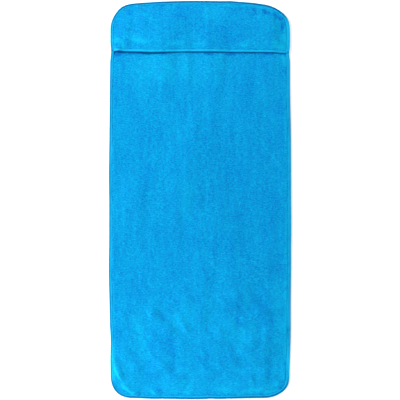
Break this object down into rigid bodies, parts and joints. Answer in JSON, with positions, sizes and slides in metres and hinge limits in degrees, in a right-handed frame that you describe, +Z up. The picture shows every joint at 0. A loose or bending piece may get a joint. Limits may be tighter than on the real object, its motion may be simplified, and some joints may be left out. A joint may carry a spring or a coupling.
{
  "type": "quick dry towel",
  "caption": "Flat terry towel with rounded corners, a bound edge and a shallow head pocket across one end that slips over a lounger or chair back.",
  "frame": {"origin": "middle of the underside, on the surface that the towel lies on", "axes": "+Z up out of the towel's face, +Y along its length towards the head pocket, +X across it to the right as seen from above"},
  "size_m": [0.596, 1.3, 0.0162],
  "materials": {
    "terry": "bright cyan-blue looped terry on both faces, soft and matt",
    "binding_tape": "woven tape in the same blue, smoother than the terry and slightly lustrous",
    "sewing_thread": "spun polyester sewing thread in the same blue, a shade deeper",
    "label_satin": "blank white satin ribbon"
  },
  "bodies": {
    "root": {"main_panel": "terry", "pocket_panel": "terry", "edge_tape": "binding_tape", "mouth_tape": "binding_tape", "edge_seam_face_thread": "sewing_thread", "edge_seam_back_thread": "sewing_thread", "mouth_seam_face_thread": "sewing_thread", "mouth_seam_inner_thread": "sewing_thread", "bartack_left": "sewing_thread", "bartack_right": "sewing_thread", "care_label": "label_satin"}
  },
  "joints": []
}
